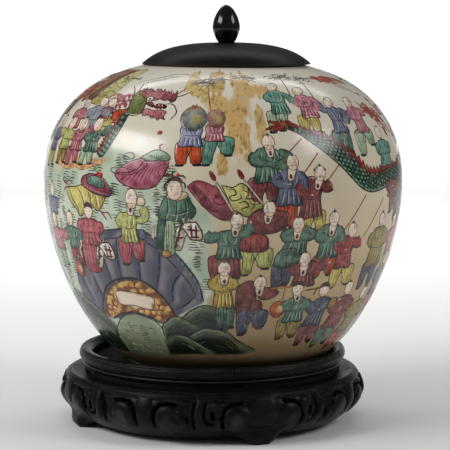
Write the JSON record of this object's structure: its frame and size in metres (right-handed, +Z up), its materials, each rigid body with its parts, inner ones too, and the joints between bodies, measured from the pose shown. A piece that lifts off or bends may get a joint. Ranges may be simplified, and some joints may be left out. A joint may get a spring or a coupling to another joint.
{
  "type": "lidded jar on stand",
  "caption": "Round-bodied porcelain jar with overglaze enamel painting, a turned wooden cap with an egg-shaped finial, and a carved round wooden stand on short feet.",
  "frame": {"origin": "on the surface that the stand rests on, under the jar's axis", "axes": "+Z up along the jar's axis, -Y towards the front of the jar as pictured, +X to the right"},
  "size_m": [0.2476, 0.2476, 0.2869],
  "materials": {
    "jar_body": "clear glossy glaze, warm greyish white, painted over the glaze in many enamels",
    "lid_cap": "dark stained and waxed, satin",
    "lid_finial": "black lacquered, glossy",
    "floor_panel": "dark stained, dull",
    "stand_ring": "dark stained and waxed hardwood, worn satin",
    "ring_wedge": "bare hardwood",
    "stand_waist": "dark stained hardwood, dull in the recess",
    "stand_apron": "dark stained and waxed hardwood, carved, worn on the high places",
    "stand_leg": "dark stained and waxed hardwood, carved, worn on the high places"
  },
  "bodies": {
    "stand": {"floor_panel": "floor_panel", "panel_batten": "floor_panel", "ring_segment_1": "stand_ring", "ring_segment_2": "stand_ring", "ring_segment_3": "stand_ring", "ring_segment_4": "stand_ring", "ring_wedge_1": "ring_wedge", "ring_wedge_2": "ring_wedge", "ring_wedge_3": "ring_wedge", "ring_wedge_4": "ring_wedge", "waist_strip_1": "stand_waist", "waist_strip_2": "stand_waist", "waist_strip_3": "stand_waist", "waist_strip_4": "stand_waist", "apron_1": "stand_apron", "apron_2": "stand_apron", "apron_3": "stand_apron", "apron_4": "stand_apron", "leg_1": "stand_leg", "leg_2": "stand_leg", "leg_3": "stand_leg", "leg_4": "stand_leg"},
    "jar": {"jar_body": "jar_body"},
    "lid": {"lid_cap": "lid_cap", "lid_finial": "lid_finial"}
  },
  "joints": [
    {"name": "jar_lift", "type": "slide", "parent": "stand", "child": "jar", "axis": [0, 0, 1], "range_m": [0, 0.06]},
    {"name": "lid_lift", "type": "slide", "parent": "jar", "child": "lid", "axis": [0, 0, 1], "range_m": [0, 0.05]}
  ]
}
